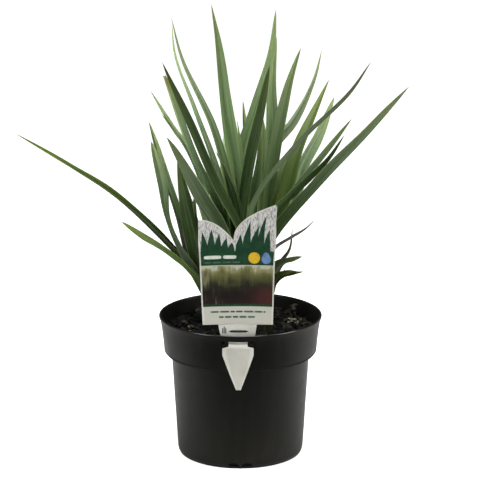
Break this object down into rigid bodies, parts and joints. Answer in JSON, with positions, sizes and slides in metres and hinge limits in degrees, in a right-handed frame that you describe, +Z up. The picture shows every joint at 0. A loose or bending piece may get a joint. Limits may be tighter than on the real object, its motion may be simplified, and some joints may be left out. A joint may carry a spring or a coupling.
{
  "type": "potted flax lily",
  "caption": "Clump of arching strap leaves growing from bark mix in a round stepped nursery pot, with a plant tag threaded through its collar.",
  "frame": {"origin": "centre of the pot's underside, on the surface that the pot stands on", "axes": "+Z up, the plant tag faces -Y and the long arching leaf reaches towards -X"},
  "size_m": [0.329, 0.1984, 0.395],
  "materials": {
    "pot_plastic": "black satin plastic with a soft sheen",
    "bark_mix": "dark damp bark and compost",
    "tag_plastic": "white satin plastic with a printed front",
    "leaf": "glaucous mid green, satin, finely veined lengthwise",
    "young_leaf": "pale green young leaf, satin"
  },
  "bodies": {
    "root": {"pot": "pot_plastic", "potting_mix": "bark_mix", "plant_tag": "tag_plastic", "shoot_left": "leaf", "shoot_front_left": "leaf", "shoot_centre": "leaf", "shoot_right": "leaf", "shoot_young": "young_leaf", "shoot_back_right": "leaf", "shoot_back_left": "leaf", "shoot_back": "leaf"}
  },
  "joints": []
}
